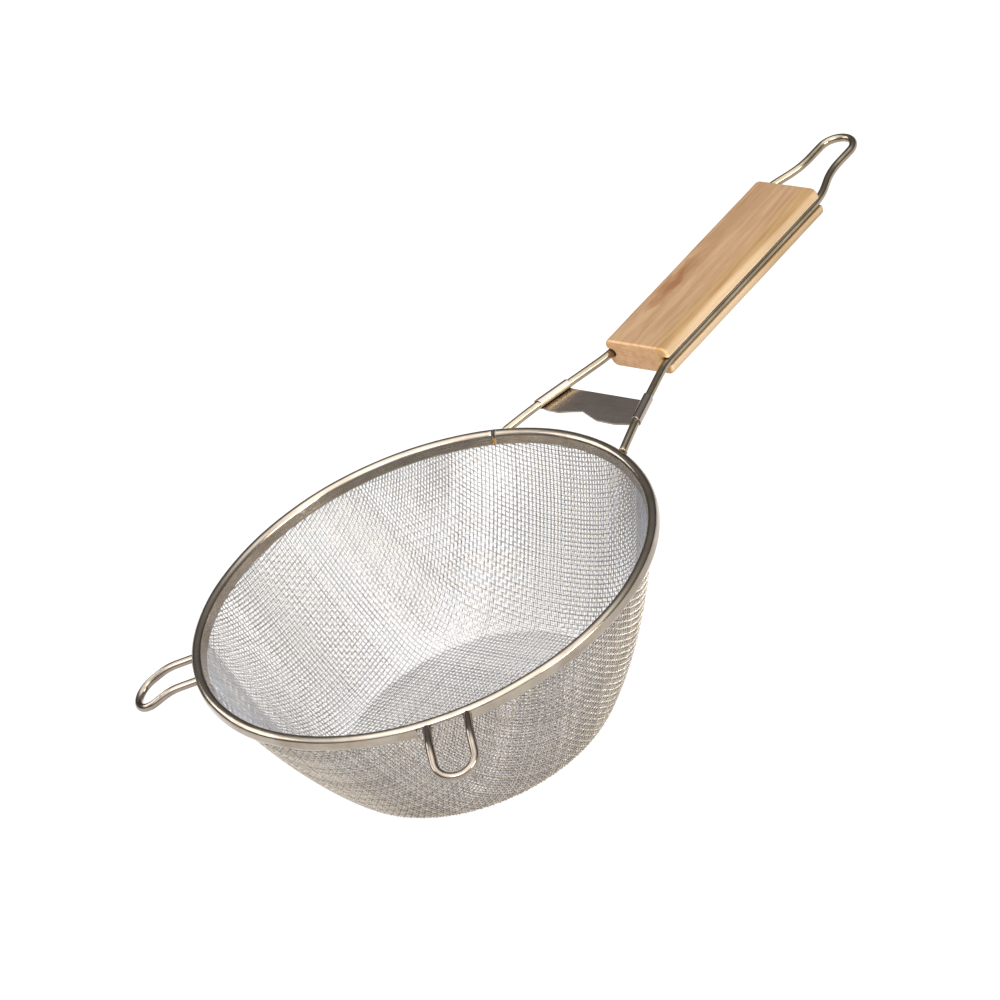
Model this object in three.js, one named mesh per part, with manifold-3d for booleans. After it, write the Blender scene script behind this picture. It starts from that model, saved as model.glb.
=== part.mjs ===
// Double sieve strainer: two layers of woven wire mesh pressed into one flat-bottomed bowl, held in a
// rolled rim, with a bent wire handle in a grooved wooden grip, a sheet brace and two rest hooks.
// Millimetres, +Z up. The origin is the centre of the bowl's flat base, on the surface it stands on.
// +X runs along the handle, and +Y is the handle's left side seen from the grip's end.
import * as THREE from 'three';
import { mergeVertices } from 'three/addons/utils/BufferGeometryUtils.js';
import Module from 'manifold-3d';

// Bowl
const RIM_RADIUS = 100.6;          // outside of the rim: an 8 inch bowl
const RIM_HEIGHT = 72.5;           // middle of the rolled rim above the base
const BASE_RADIUS = 59;            // flat part of the base
const MESH_TOP_RADIUS = RIM_RADIUS - 3.3;  // outside of the outer mesh where the rim grips it
const WALL_LEAN = 19;              // degrees that the wall leans in just under the rim
const WALL_STRAIGHTNESS = 39;      // how strongly the wall keeps that lean on its way down
const BASE_CORNER = 3;             // how strongly the base runs on flat into its corner
const OUTER_MESH_THICKNESS = 0.8;
const INNER_MESH_THICKNESS = 0.5;
const MESH_GAP = 0.25;             // between the two layers
const TURN_SEGMENTS = 60;          // flats round the rim and both bowls

// Rim, heights counted from RIM_HEIGHT
const SHEET = 0.5;                 // thickness of the rim's sheet
const BEAD_RADIUS = 2;             // outside of the rolled bead
const FLANGE_RADIUS = RIM_RADIUS - 5.6;    // inside of the flange that holds the meshes
const FLANGE_BOTTOM = -3.2;
const FLANGE_TOP = -1.2;
const FLANGE_BEND = 0.6;           // where the flange turns outwards to the bead
const BEAD_START = 176;            // degrees, where the bead leaves the flange
const CURL_HEIGHT = -1.9;          // centre of the curl under the outer wall
const CURL_RADIUS = 2.3;
const CURL_ANGLE = 100;            // degrees that the curl turns under
const MESH_TOP = -0.95;            // cut edge of both meshes inside the rim
const MESH_CLAMP = -2.6;           // the meshes stand upright above this
const CORE_RADIUS = 1;             // hoop of wire inside the bead
const SEAM_AZIMUTH = 21.3;         // butt joint of the rim band, beside the left leg
const SEAM_GAP = 0.4;
const NOTCH_TOP = 1.55;            // the rim is cut away below this at each rest hook
const NOTCH_RADIUS = RIM_RADIUS - 3;

// Handle, in its own frame: x = 0 at HANDLE_ROOT, wires in the plane z = 0
const WIRE_RADIUS = 1.8;
const WIRE_SIDES = 8;
const HANDLE_ROOT = 97;
const HANDLE_LIFT = 1.6;           // wire above the middle of the rim, at the root
const HANDLE_PITCH = 0.85;         // degrees that the handle rises
const LEG_ROOT = new THREE.Vector2(-5, 33.8);
const LEG_END = new THREE.Vector2(53, 15.4);
const NECK_START = 170;            // the wires leave the grip's grooves and close in
const NECK_END = 187;
const LOOP_HALF_WIDTH = 8.2;
const LOOP_END = 210.3;            // middle of the wire at the loop's tip
const LEG_COPE = 0.35;             // gap between a leg's end and the rim

// Grip
const GRIP_START = 54;
const GRIP_LENGTH = 113.6;
const GRIP_HALF_WIDTH = 17.3;
const GRIP_HALF_THICKNESS = 6.6;
const GRIP_CORNER = 3;
const GROOVE_CLEARANCE = 0.3;

// Brace
const BRACE_SHEET = 0.6;
const SLEEVE_CLEARANCE = 0.25;
const SLEEVE_START = 16.2;
const SLEEVE_END = 31.7;
const SLEEVE_LIP = -20;            // degrees, where the rolled eye stops short of the plate
const SCOOP_HALF_WIDTH = 7.5;
const SCOOP_DEPTH = 3.4;
const LOBE_DEPTH = 1.2;

// Rest hooks, radius and height in the plane through the bowl's axis
const HOOK_AZIMUTH = 136;
const HOOK_HALF_WIDTH = 8.5;
const HOOK_ROOT = RIM_RADIUS - 0.65;
const HOOK_HEIGHT = -0.5;
const HOOK_KINK = 112;
const HOOK_TIP = 127.5;
const HOOK_DROP = 6.1;
const HOOK_WIRE_RADIUS = 1.75;
const NOTCH_SIDE = 1.7;            // room beside each hook leg in its notch

const wasm = await Module();
wasm.setup();

const steel = () => new THREE.MeshStandardMaterial({ color: 0x9a938a, roughness: 0.3, metalness: 1 });
const meshSteel = () => new THREE.MeshStandardMaterial({ color: 0xb8b3aa, roughness: 0.4, metalness: 1 });
const braceSteel = () => new THREE.MeshStandardMaterial({ color: 0x6e6862, roughness: 0.5, metalness: 1 });
const weldSteel = () => new THREE.MeshStandardMaterial({ color: 0x6a5a48, roughness: 0.6, metalness: 0.9 });
const wood = () => new THREE.MeshStandardMaterial({ color: 0xd9b38a, roughness: 0.65, metalness: 0 });

const radians = THREE.MathUtils.degToRad;

function node(name, geometry, material) {
  const mesh = new THREE.Mesh(geometry, material);
  mesh.name = name;
  return mesh;
}

function toSolid(geometry) {
  const bare = geometry.clone();
  bare.deleteAttribute('normal');
  bare.deleteAttribute('uv');
  const merged = mergeVertices(bare, 1e-4);
  return new wasm.Manifold(new wasm.Mesh({
    numProp: 3,
    vertProperties: new Float32Array(merged.attributes.position.array),
    triVerts: new Uint32Array(merged.index.array),
  }));
}

function toGeometry(solid) {
  const result = solid.getMesh();
  const geometry = new THREE.BufferGeometry();
  geometry.setAttribute('position', new THREE.BufferAttribute(new Float32Array(result.vertProperties), 3));
  geometry.setIndex(new THREE.BufferAttribute(new Uint32Array(result.triVerts), 1));
  geometry.computeVertexNormals();
  return geometry;
}

// Points of an arc from one angle to another, in degrees.
function arcPoints(x, y, radius, from, to, steps) {
  const points = [];
  for (let i = 0; i <= steps; i += 1) {
    const angle = radians(from + ((to - from) * i) / steps);
    points.push(new THREE.Vector2(x + radius * Math.cos(angle), y + radius * Math.sin(angle)));
  }
  return points;
}

// A lathe about +Z. The profile is (radius, height).
function turned(profile) {
  const geometry = new THREE.LatheGeometry(profile, TURN_SEGMENTS);
  geometry.rotateX(Math.PI / 2);
  return geometry;
}

// A round wire along a path.
function wire(path, radius, steps) {
  const circle = new THREE.Shape(arcPoints(0, 0, radius, 0, 360 - 360 / WIRE_SIDES, WIRE_SIDES - 1));
  return new THREE.ExtrudeGeometry(circle, { steps, bevelEnabled: false, extrudePath: path });
}

// A path of straight stretches whose corners are rounded, each over its own length on both sides.
function roundedPath(corners) {
  const path = new THREE.CurvePath();
  let from = corners[0].point;
  for (let i = 1; i < corners.length; i += 1) {
    const { point, round = 0 } = corners[i];
    if (round === 0) {
      path.add(new THREE.LineCurve3(from, point));
      from = point;
      continue;
    }
    const back = new THREE.Vector3().subVectors(corners[i - 1].point, point).setLength(round).add(point);
    const on = new THREE.Vector3().subVectors(corners[i + 1].point, point).setLength(round).add(point);
    path.add(new THREE.LineCurve3(from, back));
    path.add(new THREE.QuadraticBezierCurve3(back, point, on));
    from = on;
  }
  return path;
}

// A half turn from start to end that bulges along ahead, as two quarter arcs.
function halfTurn(path, start, end, ahead) {
  const quarter = 0.5523;          // the control arm that makes a cubic curve a quarter circle
  const middle = new THREE.Vector3().addVectors(start, end).multiplyScalar(0.5);
  const radius = start.distanceTo(end) / 2;
  const tip = middle.clone().addScaledVector(ahead, radius);
  const across = new THREE.Vector3().subVectors(start, middle);
  const arm = ahead.clone().multiplyScalar(radius * quarter);
  const side = across.clone().multiplyScalar(quarter);
  path.add(new THREE.CubicBezierCurve3(start, start.clone().add(arm), tip.clone().add(side), tip));
  path.add(new THREE.CubicBezierCurve3(tip, tip.clone().sub(side), end.clone().add(arm), end));
}

// The outside of the outer mesh, from the edge of the flat base up to the rim.
const lean = radians(WALL_LEAN);
const clampHeight = RIM_HEIGHT + MESH_CLAMP;
const wallCurve = new THREE.CubicBezierCurve(
  new THREE.Vector2(BASE_RADIUS, 0),
  new THREE.Vector2(BASE_RADIUS + BASE_CORNER, 0),
  new THREE.Vector2(
    MESH_TOP_RADIUS - WALL_STRAIGHTNESS * Math.sin(lean),
    clampHeight - WALL_STRAIGHTNESS * Math.cos(lean),
  ),
  new THREE.Vector2(MESH_TOP_RADIUS, clampHeight),
);

// The wall moved inwards by depth, from the axis to the cut edge inside the rim.
function meshSurface(depth) {
  const steps = 6;
  const points = [new THREE.Vector2(0, depth)];
  for (let i = 0; i < steps; i += 1) {
    const at = wallCurve.getPointAt(i / steps);
    const along = wallCurve.getTangentAt(i / steps);
    points.push(new THREE.Vector2(at.x - along.y * depth, at.y + along.x * depth));
  }
  points.push(new THREE.Vector2(MESH_TOP_RADIUS - depth, clampHeight));
  points.push(new THREE.Vector2(MESH_TOP_RADIUS - depth, RIM_HEIGHT + MESH_TOP));
  return points;
}

function meshBowl(name, depth, thickness) {
  const profile = [...meshSurface(depth), ...meshSurface(depth + thickness).reverse()];
  return node(name, turned(profile), meshSteel());
}

// A line moved sideways by distance, to its left, with its corners mitred.
function offsetLine(points, distance) {
  const sharpest = 0.8;            // no mitre reaches further than distance / sharpest
  return points.map((point, i) => {
    const before = points[Math.max(i - 1, 0)];
    const after = points[Math.min(i + 1, points.length - 1)];
    const back = new THREE.Vector2().subVectors(point, before).normalize();
    const on = new THREE.Vector2().subVectors(after, point).normalize();
    const along = back.clone().add(on).normalize();
    const reach = distance / Math.max(sharpest, along.dot(i === 0 ? on : back));
    return new THREE.Vector2(point.x - along.y * reach, point.y + along.x * reach);
  });
}

// One sheet: inner flange, bead rolled over the hoop, outer wall, and the curl under it.
function rimSection() {
  const half = SHEET / 2;
  const beadX = RIM_RADIUS - BEAD_RADIUS;
  const flange = FLANGE_RADIUS + half;
  const middle = [
    new THREE.Vector2(flange, FLANGE_BOTTOM),
    new THREE.Vector2(flange, FLANGE_TOP),
    new THREE.Vector2(flange + FLANGE_BEND / 2, FLANGE_TOP + FLANGE_BEND),
    ...arcPoints(beadX, 0, BEAD_RADIUS - half, BEAD_START, 0, 6),
    ...arcPoints(RIM_RADIUS - CURL_RADIUS, CURL_HEIGHT, CURL_RADIUS - half, 0, -CURL_ANGLE, 3),
  ];
  const loop = [...offsetLine(middle, half), ...offsetLine(middle, -half).reverse()];
  return [...loop, loop[0].clone()].reverse();
}

function ringSector(innerRadius, outerRadius, low, high, azimuth, halfAngle) {
  const shape = new THREE.Shape();
  shape.absarc(0, 0, outerRadius, azimuth - halfAngle, azimuth + halfAngle, false);
  shape.absarc(0, 0, innerRadius, azimuth + halfAngle, azimuth - halfAngle, true);
  const geometry = new THREE.ExtrudeGeometry(shape, { depth: high - low, bevelEnabled: false, curveSegments: 6 });
  geometry.translate(0, 0, low);
  return geometry;
}

function rimBand() {
  const reach = 5;                 // cutters run this far past the band
  let band = toSolid(turned(rimSection()));
  const notchHalfWidth = HOOK_HALF_WIDTH + HOOK_WIRE_RADIUS + NOTCH_SIDE;
  for (const side of [1, -1]) {
    const azimuth = radians(side * HOOK_AZIMUTH);
    const half = notchHalfWidth / RIM_RADIUS;
    band = band.subtract(toSolid(ringSector(NOTCH_RADIUS, RIM_RADIUS + reach, -reach, NOTCH_TOP, azimuth, half)));
  }
  const seam = radians(SEAM_AZIMUTH);
  const seamHalf = SEAM_GAP / 2 / RIM_RADIUS;
  const inner = FLANGE_RADIUS - reach;
  band = band.subtract(toSolid(ringSector(inner, RIM_RADIUS + reach, -reach, reach, seam, seamHalf)));
  const mesh = node('rim_band', toGeometry(band), steel());
  mesh.position.z = RIM_HEIGHT;
  return mesh;
}

function rimCoreWire() {
  const circle = arcPoints(RIM_RADIUS - BEAD_RADIUS, 0, CORE_RADIUS, 0, 360, 6);
  circle[circle.length - 1].copy(circle[0]);
  const mesh = node('rim_core_wire', turned(circle), steel());
  mesh.position.z = RIM_HEIGHT;
  return mesh;
}

// A small bead of weld metal, a flattened ball.
function weldBead(name, x, y, z, halfSizes) {
  const geometry = new THREE.SphereGeometry(1, 8, 6);
  geometry.scale(...halfSizes);
  const mesh = node(name, geometry, weldSteel());
  mesh.position.set(x, y, z);
  return mesh;
}

// A leg's middle line runs straight from the rim to the grip.
function legY(x) {
  const share = (x - LEG_ROOT.x) / (LEG_END.x - LEG_ROOT.x);
  return LEG_ROOT.y + (LEG_END.y - LEG_ROOT.y) * share;
}

function handleWire() {
  const grooveY = LEG_END.y;
  const at = (x, y) => new THREE.Vector3(x, y, 0);
  const straightEnd = LOOP_END - LOOP_HALF_WIDTH;
  const half = (side) => [
    { point: at(LEG_ROOT.x, side * LEG_ROOT.y) },
    { point: at(LEG_END.x, side * grooveY), round: 6 },
    { point: at(NECK_START, side * grooveY), round: 7 },
    { point: at(NECK_END, side * LOOP_HALF_WIDTH), round: 7 },
    { point: at(straightEnd, side * LOOP_HALF_WIDTH) },
  ];
  const path = roundedPath(half(1));
  halfTurn(path, at(straightEnd, LOOP_HALF_WIDTH), at(straightEnd, -LOOP_HALF_WIDTH), at(1, 0));
  const back = half(-1).reverse();
  for (const curve of roundedPath(back).curves) path.add(curve);
  const rim = new THREE.CylinderGeometry(RIM_RADIUS + LEG_COPE, RIM_RADIUS + LEG_COPE, 40, TURN_SEGMENTS);
  rim.rotateX(Math.PI / 2);
  rim.rotateZ(Math.PI / 2);
  rim.translate(-HANDLE_ROOT, 0, 0);
  const solid = toSolid(wire(path, WIRE_RADIUS, 104)).subtract(toSolid(rim));
  return node('handle_wire', toGeometry(solid), steel());
}

// A block with rounded long edges and a groove along each side for the wires.
function grip() {
  const slot = WIRE_RADIUS + GROOVE_CLEARANCE;
  const straight = GRIP_HALF_THICKNESS - GRIP_CORNER;
  const flat = GRIP_HALF_WIDTH - GRIP_CORNER;
  const rightSide = [
    ...arcPoints(flat, straight, GRIP_CORNER, 90, 0, 4),
    new THREE.Vector2(GRIP_HALF_WIDTH, slot),
    ...arcPoints(LEG_END.y, 0, slot, 90, 270, 8),
    new THREE.Vector2(GRIP_HALF_WIDTH, -slot),
    ...arcPoints(flat, -straight, GRIP_CORNER, 0, -90, 4),
  ];
  const leftSide = rightSide.map((p) => new THREE.Vector2(-p.x, p.y)).reverse();
  const shape = new THREE.Shape([...rightSide, ...leftSide]);
  const geometry = new THREE.ExtrudeGeometry(shape, { depth: GRIP_LENGTH, bevelEnabled: false });
  geometry.rotateX(Math.PI / 2);
  geometry.rotateZ(Math.PI / 2);
  geometry.translate(GRIP_START, 0, 0);
  return node('wood_grip', geometry, wood());
}

// An eye rolled round one leg, from the plate under the wire, round its outside and over its top.
function sleeve(side) {
  const inner = WIRE_RADIUS + SLEEVE_CLEARANCE;
  const outer = inner + BRACE_SHEET;
  const shape = new THREE.Shape();
  shape.absarc(0, 0, outer, radians(SLEEVE_LIP), radians(270), false);
  shape.absarc(0, 0, inner, radians(270), radians(SLEEVE_LIP), true);
  const near = new THREE.Vector3(SLEEVE_START, side * legY(SLEEVE_START), 0);
  const far = new THREE.Vector3(SLEEVE_END, side * legY(SLEEVE_END), 0);
  const length = near.distanceTo(far);
  const geometry = new THREE.ExtrudeGeometry(shape, { depth: length, bevelEnabled: false, curveSegments: 12 });
  const start = side > 0 ? far : near;
  const end = side > 0 ? near : far;
  const forward = new THREE.Vector3().subVectors(end, start).normalize();
  const up = new THREE.Vector3(0, 0, 1);
  const inward = new THREE.Vector3().crossVectors(up, forward);
  geometry.applyMatrix4(new THREE.Matrix4().makeBasis(inward, up, forward).setPosition(start));
  return geometry;
}

function brace() {
  const inner = WIRE_RADIUS + SLEEVE_CLEARANCE;
  const nearX = SLEEVE_START + 1;
  const farX = SLEEVE_END - 0.5;
  const lobeX = nearX - LOBE_DEPTH;
  const lobeY = SCOOP_HALF_WIDTH + 5;
  const scoopX = lobeX + SCOOP_DEPTH;
  const shape = new THREE.Shape();
  shape.moveTo(farX, legY(farX));
  shape.lineTo(nearX, legY(nearX));
  shape.bezierCurveTo(nearX - 1, legY(nearX) - 6, lobeX, lobeY + 5, lobeX, lobeY);
  shape.bezierCurveTo(lobeX, SCOOP_HALF_WIDTH, scoopX, SCOOP_HALF_WIDTH, scoopX, 0);
  shape.bezierCurveTo(scoopX, -SCOOP_HALF_WIDTH, lobeX, -SCOOP_HALF_WIDTH, lobeX, -lobeY);
  shape.bezierCurveTo(lobeX, -lobeY - 5, nearX - 1, 6 - legY(nearX), nearX, -legY(nearX));
  shape.lineTo(farX, -legY(farX));
  const plate = new THREE.ExtrudeGeometry(shape, { depth: BRACE_SHEET, bevelEnabled: false, curveSegments: 8 });
  plate.translate(0, 0, -inner - BRACE_SHEET);
  const solid = toSolid(plate).add(toSolid(sleeve(1))).add(toSolid(sleeve(-1)));
  return node('handle_brace', toGeometry(solid), braceSteel());
}

// A bent wire loop in the plane of its own azimuth: local x is the radius from the bowl's axis.
function restHook(name) {
  const slope = new THREE.Vector3(HOOK_TIP - HOOK_KINK, 0, -HOOK_DROP).normalize();
  const straight = Math.hypot(HOOK_TIP - HOOK_KINK, HOOK_DROP) - HOOK_HALF_WIDTH;
  const leg = (side) => {
    const kink = new THREE.Vector3(HOOK_KINK, side * HOOK_HALF_WIDTH, HOOK_HEIGHT);
    return [
      { point: new THREE.Vector3(HOOK_ROOT, side * HOOK_HALF_WIDTH, HOOK_HEIGHT) },
      { point: kink, round: 4 },
      { point: kink.clone().addScaledVector(slope, straight) },
    ];
  };
  const out = leg(1);
  const back = leg(-1).reverse();
  const path = roundedPath(out);
  halfTurn(path, out[2].point, back[0].point, slope);
  for (const curve of roundedPath(back).curves) path.add(curve);
  return node(name, wire(path, HOOK_WIRE_RADIUS, 34), steel());
}

const strainer = new THREE.Group();
strainer.add(meshBowl('outer_mesh_bowl', 0, OUTER_MESH_THICKNESS));
strainer.add(meshBowl('inner_mesh_bowl', OUTER_MESH_THICKNESS + MESH_GAP, INNER_MESH_THICKNESS));
strainer.add(rimBand());
strainer.add(rimCoreWire());

const handle = new THREE.Group();
handle.position.set(HANDLE_ROOT, 0, RIM_HEIGHT + HANDLE_LIFT);
handle.rotation.y = -radians(HANDLE_PITCH);
handle.add(handleWire());
handle.add(grip());
handle.add(brace());
strainer.add(handle);

const hookWeldRadius = RIM_RADIUS - 1.7;       // under the hoop, at the end of a hook leg
const hookWeldHeight = -1.95;
const legWeldRadius = RIM_RADIUS + 1.15;
const legWeldHeight = -1.15;
const legAzimuth = Math.atan2(legY(0), HANDLE_ROOT);
for (const [name, side] of [['left', 1], ['right', -1]]) {
  const hook = new THREE.Group();
  hook.position.z = RIM_HEIGHT;
  hook.rotation.z = side * radians(HOOK_AZIMUTH);
  hook.add(restHook(`rest_hook_${name}`));
  const legs = [['front', -side], ['rear', side]];
  for (const [place, across] of legs) {
    const y = across * HOOK_HALF_WIDTH;
    hook.add(weldBead(`weld_hook_${name}_${place}`, hookWeldRadius, y, hookWeldHeight, [0.6, 1.5, 0.55]));
  }
  strainer.add(hook);

  const legFoot = new THREE.Group();
  legFoot.position.z = RIM_HEIGHT;
  legFoot.rotation.z = side * legAzimuth;
  legFoot.add(weldBead(`weld_leg_${name}`, legWeldRadius, 0, legWeldHeight, [0.8, 2, 0.8]));
  strainer.add(legFoot);
}

export default strainer;
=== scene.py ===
import math

import bmesh
import bpy
import numpy as np
from mathutils import Matrix, Vector


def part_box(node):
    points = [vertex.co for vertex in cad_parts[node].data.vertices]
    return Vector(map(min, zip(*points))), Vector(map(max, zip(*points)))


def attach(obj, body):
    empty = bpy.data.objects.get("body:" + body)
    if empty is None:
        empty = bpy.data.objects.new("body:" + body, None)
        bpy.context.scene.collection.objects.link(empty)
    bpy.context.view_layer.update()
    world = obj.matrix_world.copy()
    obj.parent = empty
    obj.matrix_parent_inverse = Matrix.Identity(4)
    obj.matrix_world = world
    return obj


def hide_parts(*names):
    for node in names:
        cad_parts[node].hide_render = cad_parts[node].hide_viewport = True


# Looks of the double sieve strainer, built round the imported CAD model. Metres, +Z up.

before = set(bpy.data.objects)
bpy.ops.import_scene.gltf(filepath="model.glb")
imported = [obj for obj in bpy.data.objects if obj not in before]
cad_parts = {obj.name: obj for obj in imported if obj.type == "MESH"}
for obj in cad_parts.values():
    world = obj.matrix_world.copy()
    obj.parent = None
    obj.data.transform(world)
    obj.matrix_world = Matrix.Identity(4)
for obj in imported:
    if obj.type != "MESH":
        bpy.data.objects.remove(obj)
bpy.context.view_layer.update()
MM = 0.001

# Places that everything hangs on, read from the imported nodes
outer_high = Vector(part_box("outer_mesh_bowl")[1])
rim_high = Vector(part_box("rim_band")[1])
RIM_RADIUS = rim_high.y
BEAD_RADIUS = 2.0 * MM             # outside of the rim's bead, rolled over the hoop
RIM_Z = rim_high.z - BEAD_RADIUS   # middle of the rolled rim
MESH_RADIUS = outer_high.y         # outside of the outer mesh under the rim
HANDLE_ROOT = Vector((97 * MM, 0, RIM_Z + 1.6 * MM))
HANDLE_PITCH = math.radians(0.85)

# Bowl
BASE_RADIUS = 59 * MM
BASE_CORNER = 3 * MM
WALL_LEAN = math.radians(19)
WALL_STRAIGHTNESS = 39 * MM
MESH_CLAMP = -2.6 * MM             # where the wall enters the rim, from RIM_Z
MESH_TOP = -1.4 * MM               # cut ends of the mesh wires inside the rim
PITCH = 1.87 * MM
OUTER_WIRE = 0.22 * MM             # radii of the mesh wires
INNER_WIRE = 0.14 * MM
LAYER_GAP = 0.12 * MM              # between the two layers of cloth
WIRE_SIDES = 5
WIRE_STRAY = 0.035                 # how far a wire strays from its place, in shares of the pitch
DENT = 0.22 * MM                   # of the cloth's slow swells
OUTER_TWIST = math.radians(1.4)    # turn of the outer cloth against the inner one
RIM_STRETCH = 0.0094               # the rim is this much longer along X and shorter along Y
RIM_DRIFT = np.array([0.4, 1.9]) * MM    # how far the rim's centre sits off the handle's middle plane
BASE_DRIFT = np.array([-2.5, 1.6]) * MM  # the same for the base

# Rim section, from RIM_Z
SHEET = 0.5 * MM
FLANGE_RADIUS = RIM_RADIUS - 5.6 * MM  # inside of the flange that holds the meshes
FLANGE_BOTTOM = -3.2 * MM
FLANGE_TOP = -0.5 * MM
CURL_Z = -1.9 * MM
CURL_RADIUS = 2.3 * MM
CURL_ANGLE = math.radians(104)
SEAM = math.radians(21.3)
SEAM_GAP = 0.25 * MM
NOTCH_TOP = 0.7 * MM               # the outer wall stops here, on the bead
NOTCH_HALF = 10.8 * MM
HOOP_WIRE = 0.95 * MM

# Handle, x from HANDLE_ROOT
WIRE = 1.8 * MM
LEG_ROOT = (-1.0 * MM, 32.52 * MM)
LEG_DIP = 1.1 * MM                 # the legs bend down to the rim at their ends
LEG_DIP_LENGTH = 15 * MM
LEG_END = (53 * MM, 15.4 * MM)
NECK_START = 170 * MM
NECK_END = 187 * MM
LOOP_HALF = 8.2 * MM
LOOP_END = 210.3 * MM
GRIP_START = 54.0 * MM
GRIP_LENGTH = 113.6 * MM
GRIP_HALF_WIDTH = 17.3 * MM
GRIP_HALF_THICKNESS = 6.6 * MM
GRIP_CORNER = 3 * MM
GRIP_SLOT = WIRE + 0.3 * MM
BRACE_SHEET = 0.55 * MM
SLEEVE_CLEARANCE = 0.06 * MM
SLEEVE_START = 16.2 * MM
SLEEVE_END = 31.7 * MM
SLEEVE_WRAP = math.radians(235)
# Wavy edge of the brace: place across it from -1 to 1, and how far the edge is moved out, in millimetres
BRACE_EDGE = [(-1, 0.9), (-0.86, -0.5), (-0.55, -1.9), (-0.2, -1.6), (0.02, 0.6), (0.2, 2.4), (0.42, 1.0),
              (0.6, -0.7), (0.85, -0.5), (1, 0.9)]

# Rest hooks
HOOK_AZIMUTH = math.radians(136)
HOOK_HALF = 8.5 * MM
HOOK_WIRE = 1.75 * MM
HOOK_ROOT = RIM_RADIUS - 1.0 * MM
HOOK_Z = -0.5 * MM
HOOK_KINK = 112 * MM
HOOK_TIP = 127.5 * MM
HOOK_DROP = 6.1 * MM

# Grip's beech
PITH = Vector((200, 12, 45)) * MM  # middle of the growth rings, below the grip
RING_PITCH = 1.9 * MM
KNOT = (194 * MM, 9.2 * MM, RIM_Z + 8 * MM)  # middle of the brown figure in the grip's top
KNOT_REACH = (17 * MM, 3.8 * MM, 9 * MM)

# Size of the weld beads' half axes, in millimetres: out from the bowl's axis, round it and up
HOOK_BEAD = (0.95, 2.2, 0.9)
LEG_BEAD = (0.8, 1.5, 0.6)

# Camera and light
CAMERA_TARGET = Vector((66.26 * MM, 17.02 * MM, RIM_Z - 10.82 * MM))
CAMERA_DISTANCE = 2.5911
CAMERA_AZIMUTH = math.radians(-129)
CAMERA_ELEVATION = math.radians(32.034)
CAMERA_ROLL = math.radians(-22.736)
CAMERA_LENS = 225.2
SOFT_SOURCE = Vector((-0.2, -0.25, 0.95)).normalized()  # towards the middle of the room's soft light

scene = bpy.context.scene


# ---------------------------------------------------------------- mesh helpers

def mesh_object(name, verts, quads, polygons=None, smooth=True):
    """An object from points, quads and, optionally, polygons that all have one number of corners."""
    verts = np.asarray(verts, dtype=np.float64)
    quads = np.asarray(quads, dtype=np.int64).reshape(-1, 4)
    loops = quads.ravel()
    starts = np.arange(len(quads)) * 4
    if polygons is not None and len(polygons):
        polygons = np.asarray(polygons, dtype=np.int64)
        starts = np.concatenate([starts, len(loops) + np.arange(len(polygons)) * polygons.shape[1]])
        loops = np.concatenate([loops, polygons.ravel()])
    mesh = bpy.data.meshes.new(name)
    mesh.vertices.add(len(verts))
    mesh.vertices.foreach_set("co", verts.ravel())
    mesh.loops.add(len(loops))
    mesh.loops.foreach_set("vertex_index", loops)
    mesh.polygons.add(len(starts))
    mesh.polygons.foreach_set("loop_start", starts)
    mesh.polygons.foreach_set("use_smooth", np.full(len(starts), smooth))
    mesh.update(calc_edges=True)
    mesh.validate()
    obj = bpy.data.objects.new(name, mesh)
    scene.collection.objects.link(obj)
    return obj


def tube_mesh(path, radius, sides, normals=None, swell=None):
    """Rings of points round one path, the quads between them and the two end polygons."""
    path = np.asarray(path)
    count = len(path)
    tangent = np.gradient(path, axis=0)
    tangent /= np.linalg.norm(tangent, axis=1)[:, None]
    if normals is None:
        normals = np.zeros_like(path)
        start = Vector(tangent[0]).orthogonal().normalized()
        normals[0] = start
        for i in range(1, count):
            n = normals[i - 1] - tangent[i] * np.dot(normals[i - 1], tangent[i])
            normals[i] = n / np.linalg.norm(n)
    side = np.cross(tangent, normals)
    side /= np.linalg.norm(side, axis=1)[:, None]
    up = np.cross(side, tangent)
    angle = np.arange(sides) * (2 * math.pi / sides) + math.pi / sides
    radii = np.full(count, radius) if swell is None else radius * swell
    ring = (np.cos(angle)[None, :, None] * side[:, None, :] + np.sin(angle)[None, :, None] * up[:, None, :])
    verts = path[:, None, :] + ring * radii[:, None, None]
    index = np.arange(count * sides).reshape(count, sides)
    a = index[:-1]
    b = index[1:]
    quads = np.stack([a, np.roll(a, -1, 1), np.roll(b, -1, 1), b], -1).reshape(-1, 4)
    caps = np.stack([index[0][::-1], index[-1]])
    return verts.reshape(-1, 3), quads, caps


def join_tubes(name, tubes, tints):
    """One object from several tubes, each with its own material number."""
    base = np.cumsum([0] + [len(verts) for verts, _, _ in tubes])
    verts = np.concatenate([v for v, _, _ in tubes])
    quads = np.concatenate([q + start for (_, q, _), start in zip(tubes, base)])
    caps = np.concatenate([c + start for (_, _, c), start in zip(tubes, base)])
    obj = mesh_object(name, verts, quads, caps)
    of_quads = np.repeat(tints, [len(q) for _, q, _ in tubes])
    of_caps = np.repeat(tints, [len(c) for _, _, c in tubes])
    obj.data.polygons.foreach_set("material_index", np.concatenate([of_quads, of_caps]).astype(np.int32))
    return obj


def round_ends(path, radius, steps=4):
    """The path with its two ends drawn out, and how wide the tube is along it, to round the tube's ends."""
    path = np.asarray(path)
    share = 0.35  # of the radius that the rounding takes
    soft = share * radius
    angles = np.linspace(0, math.pi / 2, steps + 1)[:-1]
    first = path[0] - path[1]
    first /= np.linalg.norm(first)
    last = path[-1] - path[-2]
    last /= np.linalg.norm(last)
    head = [path[0] + first * soft * math.cos(a) for a in angles]
    tail = [path[-1] + last * soft * math.cos(a) for a in angles[::-1]]
    widths = [1 - share * (1 - math.sin(a)) for a in angles]
    swell = np.concatenate([widths, np.ones(len(path)), widths[::-1]])
    return np.concatenate([head, path, tail]), swell


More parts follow.
